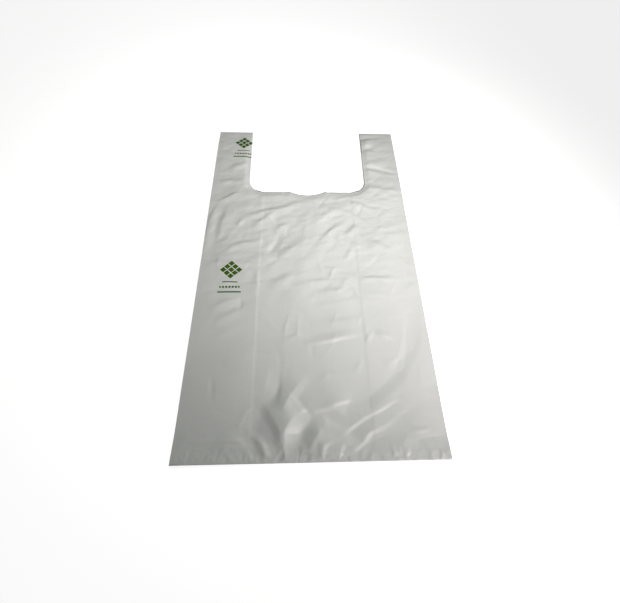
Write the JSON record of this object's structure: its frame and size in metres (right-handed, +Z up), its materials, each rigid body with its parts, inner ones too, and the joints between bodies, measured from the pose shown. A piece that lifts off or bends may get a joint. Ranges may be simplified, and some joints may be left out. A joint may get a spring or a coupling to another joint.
{
  "type": "plastic carrier bag",
  "caption": "Vest-style carrier bag of thin film, lying flat, with tucked side gussets, welded ends and a mouth cut between loop handles.",
  "frame": {"origin": "middle of the lying bag, on the surface under it", "axes": "+Y along the bag from the base weld to the handle tops, +X across the bag, +Z up out of the front panel"},
  "size_m": [0.28, 0.48, 0.003],
  "materials": {
    "film": "satin white film, slightly see-through, with a small plain green print"
  },
  "bodies": {
    "root": {"carrier_bag": "film"}
  },
  "joints": []
}
